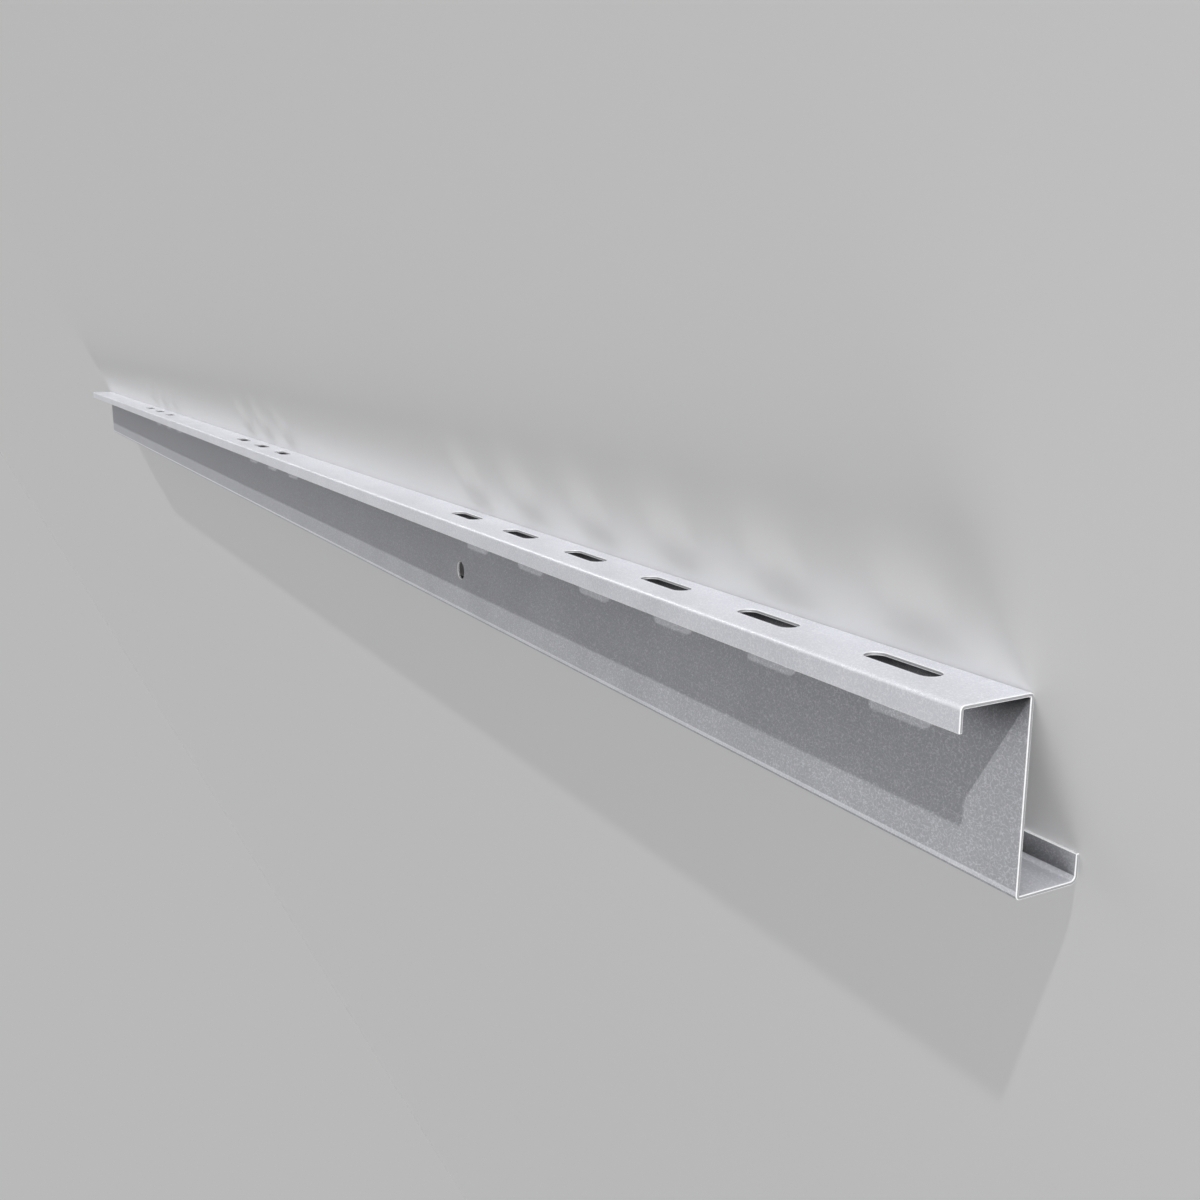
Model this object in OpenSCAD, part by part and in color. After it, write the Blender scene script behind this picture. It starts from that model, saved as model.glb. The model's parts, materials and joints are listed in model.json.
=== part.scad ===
// Z-section rafter: one length of cold-formed steel strip with a lip on each flange.
// The upright section is drawn with Y across the flanges and Z up the web, X along the rafter,
// and is then laid on its back: on the bend at the web's top and on the tip of the bottom lip.

/* [Section] */
// Overall depth of the section, over both flanges
web_depth = 100; // [80:1:200]
// Thickness of the steel strip
strip_t = 2; // [1.2:0.1:3]
// Width of the top flange, from the web's back face to the outside of its lip
top_flange = 44; // [36:0.5:80]
// Depth of the top flange's lip, from the top of the flange to the lip's edge
top_lip = 13; // [8:0.5:25]
// Width of the bottom flange, from the web's front face to the outside of its lip
bottom_flange = 40; // [30:0.5:80]
// Height of the bottom flange's lip, from the underside of the flange to the lip's edge
bottom_lip = 15.5; // [8:0.5:25]

/* [Bends] */
// Inside radius of the two bends between web and flanges
web_bend_r = 0.6; // [0.3:0.1:3]
// Inside radius of the top lip's bend
top_lip_bend_r = 0.6; // [0.3:0.1:3]
// Inside radius of the bottom lip's bend
bottom_lip_bend_r = 2.4; // [0.3:0.1:4]

/* [Length] */
// Length of the rafter
rafter_length = 3000; // [2600:10:6000]

/* [Slots in the top flange] */
// Width of each slot, with room for a 12 mm bolt
slot_w = 13; // [7:0.5:16]
// Length of each slot, over its round ends
slot_l = 50; // [20:1:80]
// Distance from the web's back face to the middle line of the slots
slot_gauge = 19; // [15:0.5:22]
// Distance between the middles of neighbouring slots
slot_pitch = 110; // [90:1:120]
// Distance from the near end to the middle of the first slot of the near group
near_group_at = 65; // [45:1:120]
// Number of slots in the near group
near_group_count = 6; // [1:1:6]
// Distance from the near end to the middle of the first slot of the middle group
middle_group_at = 1240; // [900:5:1400]
// Number of slots in the middle group
middle_group_count = 3; // [1:1:4]
// Distance from the near end to the middle of the first slot of the far group
far_group_at = 2060; // [1900:5:2250]
// Number of slots in the far group
far_group_count = 3; // [1:1:3]

/* [Hole in the web] */
// Diameter of the hole
web_hole_d = 16; // [6:0.5:24]
// Distance from the near end to the middle of the hole
web_hole_at = 675; // [100:5:2500]
// Height of the middle of the hole above the underside of the bottom flange
web_hole_height = 40; // [32:0.5:48]

/* [Colour] */
// Colour of the bare zinc-coated steel
steel_colour = [0.74, 0.745, 0.765];

/* [Hidden] */
$fn = 96;
// How far cutting shapes run past the faces that they cut
cut_over = 1;
// Outside radii of the bends
web_bend_out = web_bend_r + strip_t;
bottom_lip_bend_out = bottom_lip_bend_r + strip_t;
top_lip_bend_out = top_lip_bend_r + strip_t;
// Slot groups as [distance of the first slot from the near end, number of slots]
slot_groups = [
    [near_group_at, near_group_count],
    [middle_group_at, middle_group_count],
    [far_group_at, far_group_count]
];
// The two places of the upright section that meet the floor, as [Y, Z]: the bottom lip's edge
// and the middle of the bend at the web's top
lip_edge = [strip_t / 2 - bottom_flange, bottom_lip];
top_bend_mid = [web_bend_out - strip_t / 2, web_depth - web_bend_out];
// Slope of the web over the floor: the line from the lip's edge that touches the bend
rest_run = top_bend_mid - lip_edge;
web_slope = atan2(rest_run.x, rest_run.y) - asin(web_bend_out / norm(rest_run));
// Middles of the two outermost bends, which set the width that the laid section covers
top_lip_bend_mid = [top_flange - strip_t / 2 - top_lip_bend_out, web_depth - top_lip_bend_out];
bottom_lip_bend_mid = [lip_edge.x + bottom_lip_bend_out, bottom_lip_bend_out];

// Place of a point of the upright section after it is laid down, before it is shifted
function laid_y(p) = -p.x * sin(web_slope) - p.y * cos(web_slope);
function laid_z(p) = p.x * cos(web_slope) - p.y * sin(web_slope);

front_y = laid_y(top_lip_bend_mid) - top_lip_bend_out;
back_y = laid_y(bottom_lip_bend_mid) + bottom_lip_bend_out;

// A quarter of a bend around the origin, in the quarter with X below and Y above zero
module bend(inside_r) {
    intersection() {
        difference() {
            circle(inside_r + strip_t);
            circle(inside_r);
        }
        translate([-inside_r - strip_t, 0])
            square(inside_r + strip_t);
    }
}

// Upper half of a Z: half the web, the bend, a flange to the right and its lip pointing down
module half_section(flange, lip, lip_bend_r) {
    lip_bend_out = lip_bend_r + strip_t;
    top = web_depth / 2;
    flange_start = web_bend_out - strip_t / 2;
    flange_end = flange - strip_t / 2 - lip_bend_out;
    translate([-strip_t / 2, 0])
        square([strip_t, top - web_bend_out]);
    translate([flange_start, top - web_bend_out])
        bend(web_bend_r);
    translate([flange_start, top - strip_t])
        square([flange_end - flange_start, strip_t]);
    translate([flange_end, top - lip_bend_out])
        mirror([1, 0])
            bend(lip_bend_r);
    translate([flange - strip_t * 3 / 2, top - lip])
        square([strip_t, lip - lip_bend_out]);
}

// Whole upright section, with the middle of the web at Y zero and the underside at Z zero
module section() {
    translate([0, web_depth / 2]) {
        half_section(top_flange, top_lip, top_lip_bend_r);
        rotate(180)
            half_section(bottom_flange, bottom_lip, bottom_lip_bend_r);
    }
}

// Outline of a slot with round ends, along X
module slot_outline() {
    end_at = (slot_l - slot_w) / 2;
    square([2 * end_at, slot_w], center = true);
    for (side = [-1, 1])
        translate([side * end_at, 0])
            circle(d = slot_w);
}

// Cutters for every slot of the top flange
module slot_cuts() {
    for (group = slot_groups)
        for (i = [0 : group[1] - 1])
            translate([group[0] + i * slot_pitch, slot_gauge - strip_t / 2, web_depth - strip_t - cut_over])
                linear_extrude(strip_t + 2 * cut_over)
                    slot_outline();
}

// Cutter for the hole through the web
module web_hole_cut() {
    translate([web_hole_at, 0, web_hole_height])
        rotate([90, 0, 0])
            cylinder(d = web_hole_d, h = strip_t + 2 * cut_over, center = true);
}

// Moves the upright rafter to where it lies: middle of its length and width at the origin, on Z zero
module laid_on_back() {
    translate([-rafter_length / 2, -(front_y + back_y) / 2, -laid_z(lip_edge)])
        rotate([90 + web_slope, 0, 0])
            children();
}

// The rafter: rolled section, cut square at both ends, with its slots and its hole
module rafter() {
    color(steel_colour)
        laid_on_back()
            difference() {
                rotate([90, 0, 90])
                    linear_extrude(rafter_length)
                        section();
                slot_cuts();
                web_hole_cut();
            }
}

rafter();
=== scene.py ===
"""Looks of a lipped Z-section rafter of zinc-coated steel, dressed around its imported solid."""

import json
import logging
import math
from dataclasses import dataclass
from enum import Enum
from typing import Any

import bmesh
import bpy
from mathutils import Matrix, Vector


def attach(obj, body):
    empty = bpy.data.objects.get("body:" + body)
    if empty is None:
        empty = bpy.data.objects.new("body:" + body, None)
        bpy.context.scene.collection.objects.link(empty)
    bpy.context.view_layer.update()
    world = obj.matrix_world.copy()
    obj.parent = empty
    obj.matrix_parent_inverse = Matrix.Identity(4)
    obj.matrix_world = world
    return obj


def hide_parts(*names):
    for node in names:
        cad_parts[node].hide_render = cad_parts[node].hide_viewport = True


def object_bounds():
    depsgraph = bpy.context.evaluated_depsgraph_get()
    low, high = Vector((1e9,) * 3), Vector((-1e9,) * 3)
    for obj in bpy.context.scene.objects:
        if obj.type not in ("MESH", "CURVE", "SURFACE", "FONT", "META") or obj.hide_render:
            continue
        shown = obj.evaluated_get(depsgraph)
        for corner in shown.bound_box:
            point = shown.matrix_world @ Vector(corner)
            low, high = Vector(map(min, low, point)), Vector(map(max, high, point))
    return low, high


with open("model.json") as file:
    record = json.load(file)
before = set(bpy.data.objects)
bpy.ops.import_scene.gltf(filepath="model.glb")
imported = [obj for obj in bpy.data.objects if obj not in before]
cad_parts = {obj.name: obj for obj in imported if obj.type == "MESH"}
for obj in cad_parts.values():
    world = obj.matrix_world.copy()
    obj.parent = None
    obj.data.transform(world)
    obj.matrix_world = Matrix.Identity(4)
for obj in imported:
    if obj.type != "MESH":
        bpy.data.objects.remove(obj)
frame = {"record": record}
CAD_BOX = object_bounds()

LOG = logging.getLogger("z_section_rafter")
MILLIMETRE = 0.001
FLATNESS = 0.01 * MILLIMETRE
NOISE_MIDDLE = (0.3, 0.7)
ROUND_PROFILE = 0.5
SAME_MATERIAL = -1
WHITE = (1, 1, 1, 1)

Ring = list[bmesh.types.BMVert]


class MaterialSlot(Enum):
    """Material slots of the rafter's mesh, in the order in which faces count them."""

    COATED_SKIN = 0
    CUT_EDGE = 1
    WORN_RIM = 2


class CutKind(Enum):
    """Ways in which an edge of the strip was cut, in the order in which the finish lists their tones."""

    SLIT = 0
    SAWN = 1
    PUNCHED = 2
    DRILLED = 3


class Axis(Enum):
    """Axes of the upright rafter: along it, to the front of the web, and up the web."""

    ALONG = 0
    FRONT = 1
    UP = 2

    def vector(self) -> Vector:
        """Gives the unit vector along the axis."""
        return Matrix.Identity(3)[self.value]


class SectionCorner(Enum):
    """Corners of the strip's section, from the edge of the top lip to the edge of the bottom lip."""

    TOP_LIP_EDGE = "edge of the top lip"
    TOP_LIP_BEND = "bend between top flange and lip"
    TOP_BEND = "bend between web and top flange"
    BOTTOM_BEND = "bend between web and bottom flange"
    BOTTOM_LIP_BEND = "bend between bottom flange and lip"
    BOTTOM_LIP_EDGE = "edge of the bottom lip"


class Ramp(Enum):
    """Ways of going from one end of a range to the other, by Blender's names."""

    STRAIGHT = "LINEAR"
    SMOOTH = "SMOOTHSTEP"


def add_object(name: str, data: bpy.types.ID) -> bpy.types.Object:
    """Adds an object to the scene.

    Args:
        name: Name of the object.
        data: Mesh, light or camera that it shows.

    Returns:
        The new object.
    """
    added = bpy.data.objects.new(name, data)
    bpy.context.scene.collection.objects.link(added)
    return added


class NodeGraph:
    """Adds nodes to a shader tree and links them."""

    def __init__(self, tree: bpy.types.NodeTree) -> None:
        """Empties the tree.

        Args:
            tree: Node tree of a material or a world.
        """
        self.tree = tree
        self.tree.nodes.clear()

    def add(self, kind: str, inputs: dict[str, Any] | None = None, **settings: Any) -> bpy.types.Node:
        """Adds one node.

        Args:
            kind: Blender's type name of the node.
            inputs: Values or source sockets by the name of the input socket.
            settings: Properties of the node itself.

        Returns:
            The new node.
        """
        node = self.tree.nodes.new(kind)
        for name, value in settings.items():
            setattr(node, name, value)
        for name, value in (inputs or {}).items():
            self.feed(node, name, value)
        return node

    def feed(self, node: bpy.types.Node, name: str | int, value: Any) -> None:
        """Sets an input socket to a value, or links it to a source socket.

        Args:
            node: Node that has the input.
            name: Name or number of the input socket.
            value: A plain value, or the output socket to link from.
        """
        if isinstance(value, bpy.types.NodeSocket):
            self.tree.links.new(value, node.inputs[name])
        else:
            node.inputs[name].default_value = value

    def math(self, operation: str, *operands: Any) -> bpy.types.NodeSocket:
        """Adds a Math node.

        Args:
            operation: Blender's name of the operation.
            operands: One or two operands, each a number or a socket.

        Returns:
            The output socket.
        """
        node = self.add("ShaderNodeMath", operation=operation)
        for number, operand in enumerate(operands):
            self.feed(node, number, operand)
        return node.outputs[0]

    def map_range(self, value: bpy.types.NodeSocket, source: tuple[float, float], target: tuple[float, float],
                  ramp: Ramp = Ramp.STRAIGHT) -> bpy.types.NodeSocket:
        """Maps one range of values to another and holds the ends.

        Args:
            value: Socket to map.
            source: Range of the socket's values.
            target: Values at the two ends of that range.
            ramp: Way of going from end to end.

        Returns:
            The output socket.
        """
        node = self.add("ShaderNodeMapRange", {
            "Value": value,
            "From Min": source[0],
            "From Max": source[1],
            "To Min": target[0],
            "To Max": target[1],
        }, interpolation_type=ramp.value)
        return node.outputs["Result"]

    def spread(self, noise: bpy.types.NodeSocket, target: tuple[float, float]) -> bpy.types.NodeSocket:
        """Maps the middle of a noise's range to a range of values."""
        return self.map_range(noise, NOISE_MIDDLE, target)

    def toned(self, colour: tuple[float, float, float], tone: bpy.types.NodeSocket) -> bpy.types.NodeSocket:
        """Multiplies a colour by a tone.

        Args:
            colour: The plain colour.
            tone: Socket of the tone, 1 where the colour stays.

        Returns:
            The output socket.
        """
        node = self.add("ShaderNodeVectorMath", {"Scale": tone}, operation="SCALE")
        self.feed(node, 0, colour)
        return node.outputs["Vector"]

    def blend(self, share: bpy.types.NodeSocket, without: Any, with_full: Any) -> bpy.types.NodeSocket:
        """Blends two numbers.

        Args:
            share: Share of the second number, from 0 to 1.
            without: Number or socket at share 0.
            with_full: Number or socket at share 1.

        Returns:
            The output socket.
        """
        node = self.add("ShaderNodeMix", {"Factor": share})
        self.feed(node, "A", without)
        self.feed(node, "B", with_full)
        return node.outputs["Result"]

    def noise(self, place: bpy.types.NodeSocket, grain: float, layers: int) -> bpy.types.NodeSocket:
        """Adds a noise texture.

        Args:
            place: Coordinates that the noise reads.
            grain: Size of the noise's features in metres.
            layers: Number of finer layers.

        Returns:
            The noise's value socket.
        """
        node = self.add("ShaderNodeTexNoise", {"Vector": place, "Scale": 1 / grain, "Detail": layers})
        return node.outputs["Fac"]


@dataclass(frozen=True)
class ZincSkin:
    """Matte zinc coating: cool grey and grainy, smoother and shinier on flanges and lips; its colour paints
    light: the web, inner corners, the lower bend's underside and the bottom lip darker as painted shade, a
    band above the lower bend paler as a painted highlight.
    """

    name: str = "zinc_skin"
    colour: tuple[float, float, float] = (0.715, 0.722, 0.765)
    roughness: tuple[float, float] = (0.42, 0.54)
    rubbed_metallic: tuple[float, float] = (0.2, 0.5)
    rubbed_specular: tuple[float, float] = (0.15, 0.5)
    # Tone at share 0 and 1: the dark web tone is painted shade, the pale tone a painted highlight on the band
    # above the lower bend.
    painted_light_tone: tuple[float, float] = (0.585, 1.21)
    rubbed_roughness: tuple[float, float] = (1.0, 0.8)
    speckle_grain: float = 0.9 * MILLIMETRE
    speckle_layers: int = 2
    speckle_tone: tuple[float, float] = (0.92, 1.08)
    rubbed_speckle: float = 0.45
    swirl_grain: float = 2.2 * MILLIMETRE
    swirl_layers: int = 1
    swirl_level: float = 0.5
    swirl_width: float = 0.05
    swirl_tone: float = 1.42
    cloud_grain: float = 45 * MILLIMETRE
    cloud_layers: int = 3
    cloud_tone: tuple[float, float] = (0.97, 1.03)
    bump_height: float = 0.02 * MILLIMETRE
    rubbed_bump: tuple[float, float] = (0.5, 0.125)
    # Attribute with each vertex's share of the pale, smoother finish, which also paints light and shade.
    rub_and_light_attribute: str = "rub_and_painted_light"
    # Painted shade in inner corners, from an ambient-occlusion node, only partly on flanges and lips.
    corner_shade_reach: float = 36 * MILLIMETRE
    corner_shade_tone: tuple[float, float] = (0.02, 1.0)
    corner_shade_range: tuple[float, float] = (0.53, 0.99)
    corner_shade_relief: float = 0.68

    def material(self) -> bpy.types.Material:
        """Builds the material.

        Returns:
            The new material.
        """
        material = bpy.data.materials.new(self.name)
        material.use_nodes = True
        graph = NodeGraph(material.node_tree)
        place = graph.add("ShaderNodeTexCoord").outputs["Object"]
        rub_and_painted_light = graph.add("ShaderNodeAttribute", attribute_name=self.rub_and_light_attribute).outputs["Fac"]
        speckle = graph.noise(place, self.speckle_grain, self.speckle_layers)
        cloud = graph.noise(place, self.cloud_grain, self.cloud_layers)
        speckle_tone = graph.spread(speckle, self.speckle_tone)
        pattern = graph.math("MULTIPLY", speckle_tone, self.swirls(graph, place))
        grain = graph.blend(graph.blend(rub_and_painted_light, 1.0, self.rubbed_speckle), 1.0, pattern)
        tone = graph.math("MULTIPLY", grain, graph.spread(cloud, self.cloud_tone))
        # Painted light: the web darker as painted shade, flanges, lips and the band above the lower bend
        # paler.
        tone = graph.math("MULTIPLY", tone, graph.blend(rub_and_painted_light, *self.painted_light_tone))
        # Painted shade in inner corners, weaker where the pale finish lies.
        shade_relief = graph.math("MULTIPLY", rub_and_painted_light, self.corner_shade_relief)
        tone = graph.math("MULTIPLY", tone, graph.blend(shade_relief, self.corners(graph), 1.0))
        smoothness = graph.blend(rub_and_painted_light, *self.rubbed_roughness)
        bump = graph.add("ShaderNodeBump", {
            "Height": speckle,
            "Distance": self.bump_height,
            "Strength": graph.blend(rub_and_painted_light, *self.rubbed_bump),
        })
        shader = graph.add("ShaderNodeBsdfPrincipled", {
            "Base Color": graph.toned(self.colour, tone),
            "Roughness": graph.math("MULTIPLY", graph.spread(cloud, self.roughness), smoothness),
            "Metallic": graph.blend(rub_and_painted_light, *self.rubbed_metallic),
            "Specular IOR Level": graph.blend(rub_and_painted_light, *self.rubbed_specular),
            "Normal": bump.outputs["Normal"],
        })
        graph.add("ShaderNodeOutputMaterial", {"Surface": shader.outputs["BSDF"]})
        return material

    def swirls(self, graph: NodeGraph, place: bpy.types.NodeSocket) -> bpy.types.NodeSocket:
        """Gives the tone of fine pale swirls, which follow the middle level of a noise.

        Args:
            graph: Graph of the material.
            place: Coordinates that the noise reads.

        Returns:
            The output socket.
        """
        noise = graph.noise(place, self.swirl_grain, self.swirl_layers)
        off_level = graph.math("ABSOLUTE", graph.math("SUBTRACT", noise, self.swirl_level))
        return graph.map_range(off_level, (0.0, self.swirl_width), (self.swirl_tone, 1.0))

    def corners(self, graph: NodeGraph) -> bpy.types.NodeSocket:
        """Gives the painted shade in inner corners, where an ambient-occlusion node darkens the coating's
        colour.

        Args:
            graph: Graph of the material.

        Returns:
            The output socket.
        """
        # Ambient occlusion darkens the colour: painted shade.
        reach = graph.add("ShaderNodeAmbientOcclusion", {"Distance": self.corner_shade_reach}, only_local=True)
        return graph.map_range(reach.outputs["AO"], self.corner_shade_range, self.corner_shade_tone, Ramp.SMOOTH)


@dataclass(frozen=True)
class BareSteel:
    """Bare steel where the strip was cut."""

    name: str
    colour: tuple[float, float, float]
    roughness: tuple[float, float]
    metallic: float
    grain: float
    tone: tuple[float, float]
    layers: int = 2

    def material(self) -> bpy.types.Material:
        """Builds the material.

        Returns:
            The new material.
        """
        material = bpy.data.materials.new(self.name)
        material.use_nodes = True
        graph = NodeGraph(material.node_tree)
        place = graph.add("ShaderNodeTexCoord").outputs["Object"]
        grain = graph.noise(place, self.grain, self.layers)
        shader = graph.add("ShaderNodeBsdfPrincipled", {
            "Base Color": graph.toned(self.colour, self.toning(graph, grain)),
            "Roughness": graph.spread(grain, self.roughness),
            "Metallic": self.metallic,
        })
        graph.add("ShaderNodeOutputMaterial", {"Surface": shader.outputs["BSDF"]})
        return material

    def toning(self, graph: NodeGraph, grain: bpy.types.NodeSocket) -> bpy.types.NodeSocket:
        """Gives the tone that the metal's grain makes."""
        return graph.spread(grain, self.tone)


@dataclass(frozen=True)
class ShearedEdge(BareSteel):
    """Flat of all cut edges, from the sawn ends to the wall of the hole, with a tone for each kind of cut;
    the pale slit and drilled tones are painted highlights.
    """

    name: str = "sheared_edge"
    colour: tuple[float, float, float] = (0.61, 0.615, 0.635)
    roughness: tuple[float, float] = (0.36, 0.48)
    metallic: float = 0.4
    grain: float = 0.5 * MILLIMETRE
    tone: tuple[float, float] = (0.90, 1.06)
    cut_and_highlight_attribute: str = "wall_tone"
    # Slit, sawn, punched and drilled tones; the pale slit and drilled tones are painted highlights.
    cut_and_highlight_tones: tuple[float, ...] = (1.5, 0.75, 0.75, 1.6)

    def toning(self, graph: NodeGraph, grain: bpy.types.NodeSocket) -> bpy.types.NodeSocket:
        """Gives the grain's tone times the tone of the kind of cut, which an attribute carries; for slit and
        drilled cuts that tone is a painted highlight.
        """
        cut_and_highlight_tone = graph.add("ShaderNodeAttribute", attribute_name=self.cut_and_highlight_attribute).outputs["Fac"]
        return graph.math("MULTIPLY", super().toning(graph, grain), cut_and_highlight_tone)


@dataclass(frozen=True)
class HighlightRim(BareSteel):
    """Rounded rims of all cut edges, coloured near white as a painted highlight."""

    name: str = "painted_highlight_rim"
    # Near white: a painted highlight along every rounded rim.
    colour: tuple[float, float, float] = (0.94, 0.945, 0.955)
    roughness: tuple[float, float] = (0.26, 0.38)
    metallic: float = 0.1
    grain: float = 6 * MILLIMETRE
    tone: tuple[float, float] = (0.94, 1.04)


class LaidFrame:
    """Place of the upright rafter in the row: it lies on its back, turned about its length."""

    def __init__(self, record: dict[str, Any]) -> None:
        """Reads the turn from the record's mounts.

        Args:
            record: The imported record.
        """
        self.mounts = {mount["name"]: mount for mount in record["mounts"]}
        self.up = Vector(self.mounts["top_flange_face"]["axis"]).normalized()
        self.front = Vector(self.mounts["web_hole"]["axis"]).normalized()
        self.along = self.front.cross(self.up)
        hole = Vector(self.mounts["web_hole"]["pos_m"])
        under = Vector(self.mounts["bottom_flange_face"]["pos_m"])
        near_end = CAD_BOX[0].x
        foot = hole - self.up * self.up.dot(hole - under)
        self.origin = Vector((near_end, foot.y, foot.z))

    def matrix(self) -> Matrix:
        """Gives the matrix from the upright rafter's coordinates to the row's."""
        turn = Matrix((self.along, self.front, self.up)).transposed().to_4x4()
        return Matrix.Translation(self.origin) @ turn

    def upright(self, mount: str) -> Vector:
        """Gives a mount's place in the upright rafter's coordinates."""
        return self.matrix().inverted() @ Vector(self.mounts[mount]["pos_m"])

    def dims(self, mount: str) -> dict[str, float]:
        """Gives a mount's dimensions as the record states them, in millimetres."""
        return self.mounts[mount]["dims"]


@dataclass
class RafterStrip:
    """The rafter: one strip folded to a lipped Z, punched with slots and a web hole."""

    laid: LaidFrame
    name: str = "rafter_strip"
    top_flange: float = 44 * MILLIMETRE
    top_lip: float = 13 * MILLIMETRE
    bottom_flange: float = 40 * MILLIMETRE
    bottom_lip: float = 15.5 * MILLIMETRE
    bend_inside: float = 0.6 * MILLIMETRE
    bottom_lip_bend_inside: float = 2.4 * MILLIMETRE
    bend_segments: int = 12
    round_segments: int = 48
    cell_margin: float = 9 * MILLIMETRE
    cell_corners: int = 4
    end_run: float = 3 * MILLIMETRE
    # Band above the lower bend with the pale finish, a painted highlight, and its fade into the web's painted
    # shade.
    highlight_band_run: float = 1.7 * MILLIMETRE
    highlight_band_fade: float = 0.6 * MILLIMETRE
    # Bottom lip's low share of the pale finish: painted shade.
    bottom_lip_rub_and_shade: float = 0.28
    # Top of the lower bend left out of the painted shade under it.
    unshaded_bend_run: float = 0.4 * MILLIMETRE
    edge_round: float = 0.45 * MILLIMETRE
    edge_segments: int = 3
    edge_angle: float = math.radians(60)
    flat_weight: int = 100
    slot_rows: tuple[str, ...] = ("near_slots", "middle_slots", "far_slots")

    def __post_init__(self) -> None:
        """Takes the sizes that the frame states."""
        self.strip = self.laid.dims("web_hole")["length_mm"] * MILLIMETRE
        self.depth = self.laid.upright("top_flange_face").z
        self.length = CAD_BOX[1].x - CAD_BOX[0].x

    def section(self) -> dict[SectionCorner, Vector]:
        """Works out the corners of the strip's middle surface at the near end, from lip to lip.

        Returns:
            The corners' places in the upright rafter's coordinates.
        """
        half = self.strip / 2
        top_lip_at = self.top_flange - self.strip
        bottom_lip_at = self.strip - self.bottom_flange
        return {
            SectionCorner.TOP_LIP_EDGE: Vector((0, top_lip_at, self.depth - self.top_lip)),
            SectionCorner.TOP_LIP_BEND: Vector((0, top_lip_at, self.depth - half)),
            SectionCorner.TOP_BEND: Vector((0, 0, self.depth - half)),
            SectionCorner.BOTTOM_BEND: Vector((0, 0, half)),
            SectionCorner.BOTTOM_LIP_BEND: Vector((0, bottom_lip_at, half)),
            SectionCorner.BOTTOM_LIP_EDGE: Vector((0, bottom_lip_at, self.bottom_lip)),
        }

    def fold(self, mesh: bmesh.types.BMesh) -> None:
        """Draws the sharp section, extrudes it along the rafter and rounds its four folds.

        Args:
            mesh: Empty mesh to build in.
        """
        section = self.section()
        corners = [mesh.verts.new(point) for point in section.values()]
        lines = [mesh.edges.new(pair) for pair in zip(corners, corners[1:])]
        made = bmesh.ops.extrude_edge_only(mesh, edges=lines)["geom"]
        far_end = [item for item in made if isinstance(item, bmesh.types.BMVert)]
        bmesh.ops.translate(mesh, verts=far_end, vec=(self.length, 0, 0))
        wide_fold = section[SectionCorner.BOTTOM_LIP_BEND]
        folds = [edge for edge in mesh.edges if edge.is_manifold]
        wide = [edge for edge in folds if (edge.verts[0].co - wide_fold).yz.length < self.strip / 2]
        tight = [edge for edge in folds if edge not in wide]
        self.round_folds(mesh, tight, self.bend_inside)
        self.round_folds(mesh, wide, self.bottom_lip_bend_inside)
        for at in (self.end_run, self.length - self.end_run):
            self.score(mesh, list(mesh.faces), Axis.ALONG, at)

    def round_folds(self, mesh: bmesh.types.BMesh, folds: list[bmesh.types.BMEdge], inside: float) -> None:
        """Rounds folds to an inside radius.

        Args:
            mesh: Mesh that has the folds.
            folds: Edges along the folds.
            inside: Inside radius of the bend.
        """
        bmesh.ops.bevel(mesh, geom=folds, offset=inside + self.strip / 2, offset_type="OFFSET",
                        segments=self.bend_segments, profile=ROUND_PROFILE, affect="EDGES",
                        material=SAME_MATERIAL)

    def punch(self, mesh: bmesh.types.BMesh, outline: Ring, facing: Axis) -> None:
        """Cuts an outline out of the flat part of the strip that it lies in.

        Args:
            mesh: Mesh of the strip's middle surface.
            outline: Ring of vertices of the hole, linked by edges.
            facing: Axis that the flat part faces.
        """
        low = Vector(map(min, *(vert.co for vert in outline)))
        high = Vector(map(max, *(vert.co for vert in outline)))
        middle = (low + high) / 2
        for at in (low.x - self.cell_margin, high.x + self.cell_margin):
            flat = [face for face in mesh.faces if self.is_flat_at(face, middle, facing)]
            self.score(mesh, flat, Axis.ALONG, at)
        cells = [face for face in mesh.faces if self.is_flat_at(face, middle, facing)]
        cell = min(cells, key=lambda face: abs(face.calc_center_bounds().x - middle.x))
        border = list(cell.edges)
        ring = list(dict.fromkeys(edge for vert in outline for edge in vert.link_edges))
        bmesh.ops.delete(mesh, geom=[cell], context="FACES_ONLY")
        bmesh.ops.triangle_fill(mesh, edges=border + ring, normal=facing.vector(), use_beauty=True)

    @staticmethod
    def score(mesh: bmesh.types.BMesh, faces: list[bmesh.types.BMFace], axis: Axis, at: float) -> None:
        """Divides faces by a plane across an axis.

        Args:
            mesh: Mesh that has the faces.
            faces: Faces to divide.
            axis: Axis that the plane crosses squarely.
            at: Distance of the plane along the axis.
        """
        edges = dict.fromkeys(edge for face in faces for edge in face.edges)
        verts = dict.fromkeys(vert for face in faces for vert in face.verts)
        bmesh.ops.bisect_plane(mesh, geom=[*faces, *edges, *verts], dist=FLATNESS,
                               plane_co=axis.vector() * at, plane_no=axis.vector())

    def is_flat_at(self, face: bmesh.types.BMFace, point: Vector, facing: Axis) -> bool:
        """Says whether a face lies in the flat part of the strip round a point.

        Args:
            face: Face to test.
            point: Point in the flat part.
            facing: Axis that the flat part faces.

        Returns:
            True for the faces of that flat part.
        """
        number = facing.value
        off = max(abs(vert.co[number] - point[number]) for vert in face.verts)
        return off < FLATNESS and len(face.verts) >= self.cell_corners

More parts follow.
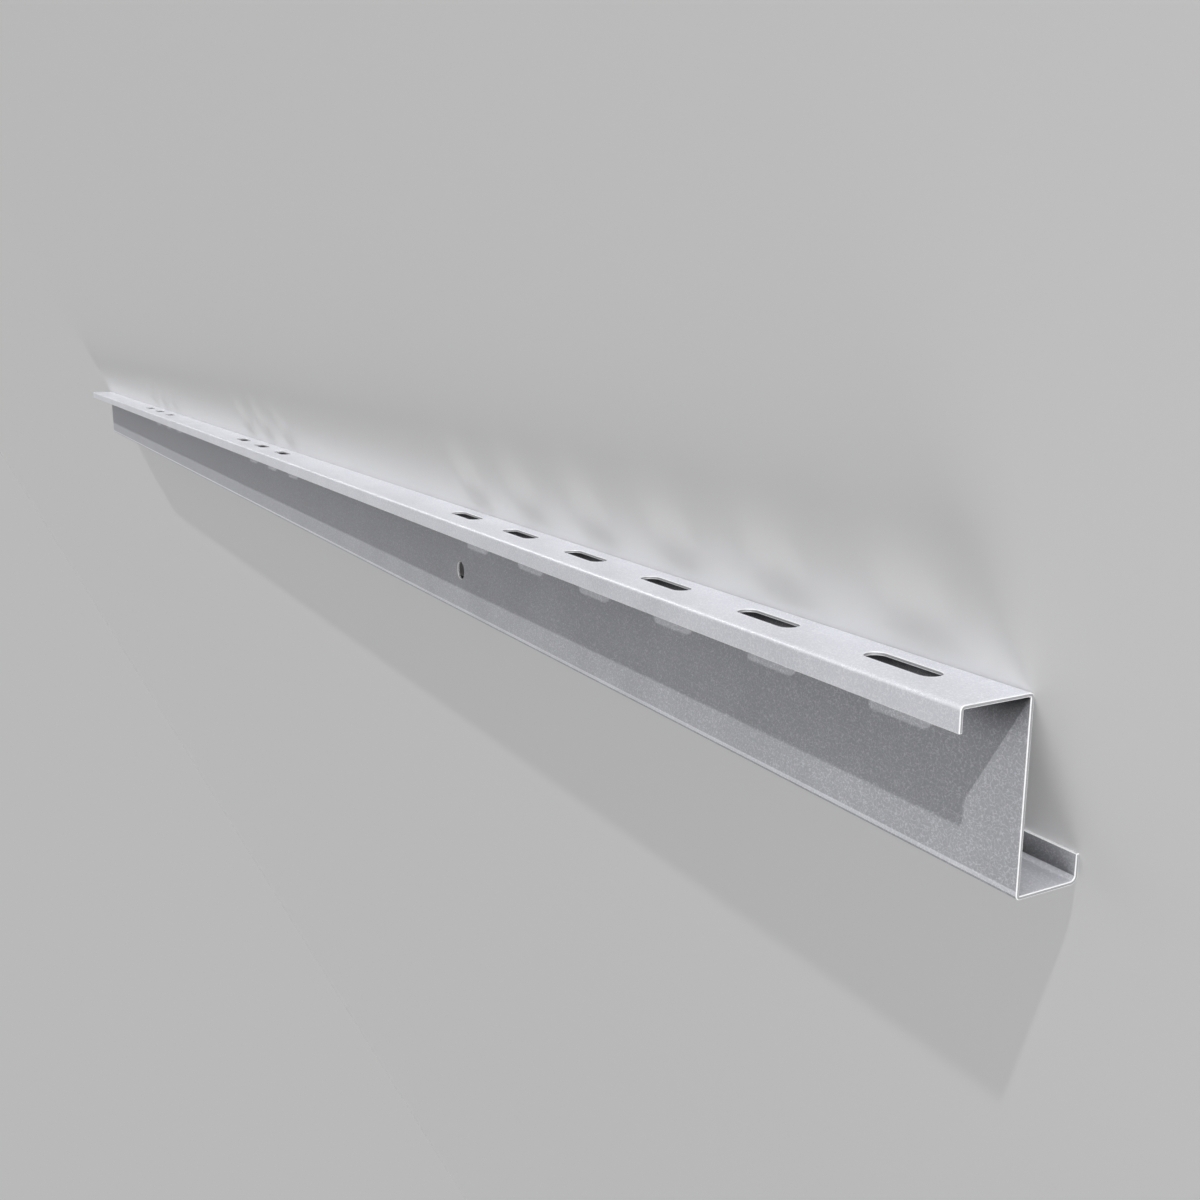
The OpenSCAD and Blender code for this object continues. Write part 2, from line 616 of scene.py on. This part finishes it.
    def slot_outline(self, mesh: bmesh.types.BMesh, middle: Vector, dims: dict[str, float]) -> Ring:
        """Draws the ring of a slot with round ends in the top flange.

        Args:
            mesh: Mesh to draw in.
            middle: Middle of the slot.
            dims: The slot row's dimensions in millimetres.

        Returns:
            The ring's vertices.
        """
        radius = dims["hole_r_mm"] * MILLIMETRE
        reach = dims["slot_length_mm"] * MILLIMETRE / 2 - radius
        ring = self.circle(mesh, middle, radius, Matrix.Identity(4))
        for vert in ring:
            vert.co.x += math.copysign(reach, vert.co.x - middle.x)
        return ring

    def circle(self, mesh: bmesh.types.BMesh, middle: Vector, radius: float, turn: Matrix) -> Ring:
        """Draws a ring whose sides touch a circle and whose corners miss its quarter points.

        Args:
            mesh: Mesh to draw in.
            middle: Middle of the ring.
            radius: Radius of the circle.
            turn: Turn from the XY plane to the ring's plane.

        Returns:
            The ring's vertices.
        """
        half_step = math.pi / self.round_segments
        matrix = Matrix.Translation(middle) @ turn @ Matrix.Rotation(half_step, 4, "Z")
        made = bmesh.ops.create_circle(mesh, cap_ends=False, radius=radius / math.cos(half_step),
                                       segments=self.round_segments, matrix=matrix)
        return made["verts"]

    def punch_slots(self, mesh: bmesh.types.BMesh) -> int:
        """Punches every slot of the top flange.

        Args:
            mesh: Mesh of the strip's middle surface.

        Returns:
            The number of slots.
        """
        punched = 0
        for row in self.slot_rows:
            dims = self.laid.dims(row)
            row_middle = self.laid.upright(row)
            for number in range(dims["count"]):
                shift = (number - (dims["count"] - 1) / 2) * dims["spacing_x_mm"] * MILLIMETRE
                middle = Vector((row_middle.x + shift, row_middle.y, self.depth - self.strip / 2))
                self.punch(mesh, self.slot_outline(mesh, middle, dims), Axis.UP)
                punched += 1
        return punched

    def punch_web_hole(self, mesh: bmesh.types.BMesh) -> None:
        """Punches the round hole of the web.

        Args:
            mesh: Mesh of the strip's middle surface.
        """
        middle = self.laid.upright("web_hole")
        radius = self.laid.dims("web_hole")["r_mm"] * MILLIMETRE
        ring = self.circle(mesh, middle, radius, Matrix.Rotation(math.pi / 2, 4, "X"))
        self.punch(mesh, ring, Axis.FRONT)

    def mark_rub_and_painted_light(self, mesh: bmesh.types.BMesh) -> None:
        """Marks each vertex's share of the pale, smoother finish: hardly on the web, fully from its bends to
        the lips; its tone paints shade on the web, under the lower bend and on the bottom lip, and a
        highlight on a band above the lower bend.

        Args:
            mesh: Mesh of the strip's middle surface, still upright.
        """
        # Edges of the painted highlight band above the web's lower bend.
        band_top = self.bend_inside + self.strip + self.highlight_band_run
        for at in (band_top, band_top + self.highlight_band_fade):
            web = [face for face in mesh.faces if all(abs(vert.co.y) < FLATNESS for vert in face.verts)]
            self.score(mesh, web, Axis.UP, at)
        layer = mesh.verts.layers.float.new(ZincSkin().rub_and_light_attribute)
        for vert in mesh.verts:
            vert[layer] = self.rub_and_light_share(vert.co)

    def rub_and_light_share(self, place: Vector) -> float:
        """Gives a place's share of the pale, smoother finish, whose tone also paints light and shade.

        Args:
            place: Place in the upright rafter's coordinates.

        Returns:
            0 on the web above its lower band and inside the lower bend, a share on the bottom lip, all
            painted shade, and 1 elsewhere, which on the band is a painted highlight.
        """
        bend = self.bend_inside + self.strip
        # Painted shade on the web and under the lower bend; the band between them is a painted highlight.
        on_web = place.z > bend + self.highlight_band_run + FLATNESS and abs(place.y) < FLATNESS
        under_bend = self.strip / 2 + FLATNESS < place.z < bend - self.unshaded_bend_run and place.y > -bend
        if on_web or under_bend:
            return 0.0
        # Painted shade on the bottom lip.
        bottom_lip_at = self.section()[SectionCorner.BOTTOM_LIP_EDGE].y
        on_bottom_lip = abs(place.y - bottom_lip_at) < FLATNESS
        return self.bottom_lip_rub_and_shade if on_bottom_lip else 1.0

    def cut_kind(self, vert: bmesh.types.BMVert) -> CutKind:
        """Says how the strip was cut at a vertex of its border.

        Args:
            vert: Vertex of the strip's middle surface.

        Returns:
            The kind of cut.
        """
        section = self.section()
        slit_at = (section[SectionCorner.TOP_LIP_EDGE], section[SectionCorner.BOTTOM_LIP_EDGE])
        if min(vert.co.x, self.length - vert.co.x) < FLATNESS:
            return CutKind.SAWN
        if any((vert.co - point).yz.length < FLATNESS for point in slit_at):
            return CutKind.SLIT
        if abs(vert.co.y) < FLATNESS:
            return CutKind.DRILLED
        return CutKind.PUNCHED

    def mark_edges(self, mesh: bmesh.types.BMesh) -> None:
        """Gives the vertices of the strip's border the tone of their kind of cut, paler for slit and drilled
        cuts as a painted highlight.

        Args:
            mesh: Mesh of the strip's middle surface, still upright.
        """
        finish = ShearedEdge()
        layer = mesh.verts.layers.float.new(finish.cut_and_highlight_attribute)
        for vert in mesh.verts:
            vert[layer] = finish.cut_and_highlight_tones[self.cut_kind(vert).value]

    def build(self) -> bpy.types.Object:
        """Builds the rafter and dresses it.

        Returns:
            The finished piece.
        """
        mesh = bmesh.new()
        self.fold(mesh)
        slots = self.punch_slots(mesh)
        self.punch_web_hole(mesh)
        bmesh.ops.recalc_face_normals(mesh, faces=mesh.faces)
        self.mark_rub_and_painted_light(mesh)
        self.mark_edges(mesh)
        mesh.transform(self.laid.matrix())
        for face in mesh.faces:
            face.smooth = True
        data = bpy.data.meshes.new(self.name)
        mesh.to_mesh(data)
        mesh.free()
        piece = add_object(self.name, data)
        self.thicken(piece)
        self.dress(piece)
        LOG.info("%s: %d slots, one web hole, %.0f mm long", self.name, slots, self.length / MILLIMETRE)
        return piece

    def thicken(self, piece: bpy.types.Object) -> None:
        """Gives the middle surface the strip's thickness and rounds its cut edges.

        Args:
            piece: Object of the middle surface.
        """
        wall = piece.modifiers.new("strip_thickness", "SOLIDIFY")
        wall.thickness = self.strip
        wall.offset = 0
        wall.use_even_offset = True
        wall.use_quality_normals = True
        wall.material_offset_rim = MaterialSlot.CUT_EDGE.value
        edges = piece.modifiers.new("cut_edges", "BEVEL")
        edges.width = self.edge_round
        edges.segments = self.edge_segments
        edges.limit_method = "ANGLE"
        edges.angle_limit = self.edge_angle
        # Rounded rims take the near-white painted highlight.
        edges.material = MaterialSlot.WORN_RIM.value
        normals = piece.modifiers.new("flat_faces", "WEIGHTED_NORMAL")
        normals.weight = self.flat_weight

    def dress(self, piece: bpy.types.Object) -> None:
        """Gives the piece its finishes and its place in the row.

        Args:
            piece: The rafter's object.
        """
        finishes = {
            MaterialSlot.COATED_SKIN: ZincSkin(),
            MaterialSlot.CUT_EDGE: ShearedEdge(),
            MaterialSlot.WORN_RIM: HighlightRim(),
        }
        for slot in MaterialSlot:
            piece.data.materials.append(finishes[slot].material())
        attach(piece, "root")
        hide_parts("rafter")


def direction_to(azimuth: float, height: float) -> Vector:
    """Gives the unit vector to a place of the sky.

    Args:
        azimuth: Compass angle from +X towards +Y, in degrees.
        height: Angle over the floor, in degrees.

    Returns:
        The unit vector.
    """
    turn = Matrix.Rotation(math.radians(azimuth), 3, "Z")
    tilt = Matrix.Rotation(math.radians(-height), 3, "Y")
    return turn @ tilt @ Vector((1, 0, 0))


@dataclass(frozen=True)
class Lamp:
    """A distant lamp, placed by its compass angle and its height over the floor."""

    name: str
    azimuth: float
    height: float
    strength: float
    spread: float

    def build(self) -> bpy.types.Object:
        """Makes the lamp.

        Returns:
            The lamp's object.
        """
        data = bpy.data.lights.new(self.name, "SUN")
        data.energy = self.strength
        data.angle = math.radians(self.spread)
        lamp = add_object(self.name, data)
        towards = direction_to(self.azimuth, self.height)
        lamp.rotation_euler = towards.to_track_quat("Z", "Y").to_euler()
        return lamp


@dataclass(frozen=True)
class SoftBox:
    """A soft square lamp off the near end, aimed at the middle of the web's end."""

    laid: LaidFrame
    name: str = "near_end_box"
    before_end: float = 0.80
    front: float = 0.50
    below: float = 0.10
    size: float = 0.30
    power: float = 0.8

    def build(self) -> bpy.types.Object:
        """Makes the lamp.

        Returns:
            The lamp's object.
        """
        data = bpy.data.lights.new(self.name, "AREA")
        data.energy = self.power
        data.size = self.size
        lamp = add_object(self.name, data)
        aim = Vector((0, 0, self.laid.upright("top_flange_face").z / 2))
        stand = Vector((-self.before_end, self.front, -self.below))
        place = self.laid.matrix()
        lamp.location = place @ stand
        lamp.rotation_euler = (place @ stand - place @ aim).to_track_quat("Z", "Y").to_euler()
        lamp.visible_camera = False
        return lamp


@dataclass
class Studio:
    """Pale floor, soft surrounding light and lamps."""

    laid: LaidFrame
    floor_reach: float = 60.0
    floor_colour: tuple[float, float, float] = (0.64, 0.64, 0.64)
    floor_lift: float = 0.07
    backdrop: float = 0.485
    bright_azimuth: float = -120
    bright_height: float = 20
    bright_light: float = 0.72
    dark_light: float = 0.055
    light_range: tuple[float, float] = (-0.6, 0.9)
    lamps: tuple[Lamp, ...] = (
        Lamp("key", azimuth=-116.5, height=7.6, strength=2.0, spread=0.8),
        Lamp("rim", azimuth=90, height=17, strength=1.4, spread=30),
        Lamp("near_end", azimuth=180, height=10, strength=0.5, spread=20),
        Lamp("upper_bend_glint", azimuth=-30, height=5, strength=0.17, spread=16),
        Lamp("far_sheen", azimuth=-1, height=16, strength=0.02, spread=12),
    )

    def build(self) -> None:
        """Makes the floor, the surroundings and the lamps."""
        self.floor()
        self.surroundings()
        for lamp in self.lamps:
            lamp.build()
            LOG.info("lamp: %s", lamp.name)
        LOG.info("lamp: %s", SoftBox(self.laid).build().name)
        LOG.info("studio: floor, surroundings and lamps")

    def shown_directly(self, graph: NodeGraph) -> bpy.types.NodeSocket:
        """Gives 1 for rays that show a surface as it is: camera, glossy and transmission rays.

        Args:
            graph: Graph of the material or world.

        Returns:
            The output socket.
        """
        path = graph.add("ShaderNodeLightPath").outputs
        seen = graph.math("MAXIMUM", path["Is Camera Ray"], path["Is Glossy Ray"])
        return graph.math("MAXIMUM", seen, path["Is Transmission Ray"])

    def floor(self) -> None:
        """Makes the floor under the rafter."""
        mesh = bmesh.new()
        bmesh.ops.create_grid(mesh, x_segments=1, y_segments=1, size=self.floor_reach)
        data = bpy.data.meshes.new("floor")
        mesh.to_mesh(data)
        mesh.free()
        floor = add_object("floor", data)
        material = bpy.data.materials.new("pale_floor")
        material.use_nodes = True
        graph = NodeGraph(material.node_tree)
        matte = graph.add("ShaderNodeBsdfDiffuse", {"Color": (*self.floor_colour, 1)})
        lift = graph.add("ShaderNodeEmission", {
            "Color": (*self.floor_colour, 1),
            "Strength": graph.math("MULTIPLY", self.shown_directly(graph), self.floor_lift),
        })
        both = graph.add("ShaderNodeAddShader")
        graph.feed(both, 0, matte.outputs["BSDF"])
        graph.feed(both, 1, lift.outputs["Emission"])
        graph.add("ShaderNodeOutputMaterial", {"Surface": both.outputs["Shader"]})
        data.materials.append(material)

    def surroundings(self) -> None:
        """Makes the light from all round: bright behind the key lamp, darker on the far side."""
        world = bpy.data.worlds.new("studio")
        world.use_nodes = True
        graph = NodeGraph(world.node_tree)
        direction = graph.add("ShaderNodeTexCoord").outputs["Generated"]
        aside = graph.add("ShaderNodeVectorMath", operation="DOT_PRODUCT")
        graph.feed(aside, 0, direction)
        graph.feed(aside, 1, direction_to(self.bright_azimuth, self.bright_height))
        levels = (self.dark_light, self.bright_light)
        level = graph.map_range(aside.outputs["Value"], self.light_range, levels, Ramp.SMOOTH)
        seen = graph.add("ShaderNodeLightPath").outputs["Is Camera Ray"]
        shown = graph.blend(seen, level, self.backdrop)
        light = graph.add("ShaderNodeBackground", {"Color": WHITE, "Strength": shown})
        graph.add("ShaderNodeOutputWorld", {"Surface": light.outputs["Background"]})
        bpy.context.scene.world = world


@dataclass
class PhotoCamera:
    """Camera placed beside the upright rafter's near end, then turned over with it."""

    laid: LaidFrame
    along: float = -0.3786
    front: float = 0.4213
    up: float = 0.2582
    yaw: float = math.radians(28.22)
    pitch: float = math.radians(12.31)
    focal_pixels: float = 1250.0
    frame_pixels: int = 1200
    sensor: float = 36.0

    def build(self) -> None:
        """Makes the camera and gives it to the scene."""
        data = bpy.data.cameras.new("photo_camera")
        data.sensor_width = self.sensor
        data.lens = self.focal_pixels / self.frame_pixels * self.sensor
        camera = add_object("photo_camera", data)
        ahead = Vector((math.cos(self.yaw), -math.sin(self.yaw), 0))
        right = Vector((-math.sin(self.yaw), -math.cos(self.yaw), 0))
        above = Axis.UP.vector()
        look = ahead * math.cos(self.pitch) - above * math.sin(self.pitch)
        head = ahead * math.sin(self.pitch) + above * math.cos(self.pitch)
        turn = Matrix((right, head, -look)).transposed().to_4x4()
        stand = Matrix.Translation((self.along, self.front, self.up)) @ turn
        camera.matrix_world = self.laid.matrix() @ stand
        bpy.context.scene.camera = camera
        LOG.info("photo_camera: lens %.1f mm", data.lens)


def main() -> None:
    """Builds the rafter, the studio and the camera."""
    logging.basicConfig(level=logging.INFO)
    bpy.context.scene.view_settings.view_transform = "Standard"
    laid = LaidFrame(frame["record"])
    RafterStrip(laid).build()
    Studio(laid).build()
    PhotoCamera(laid).build()


if __name__ == "__main__":
    main()
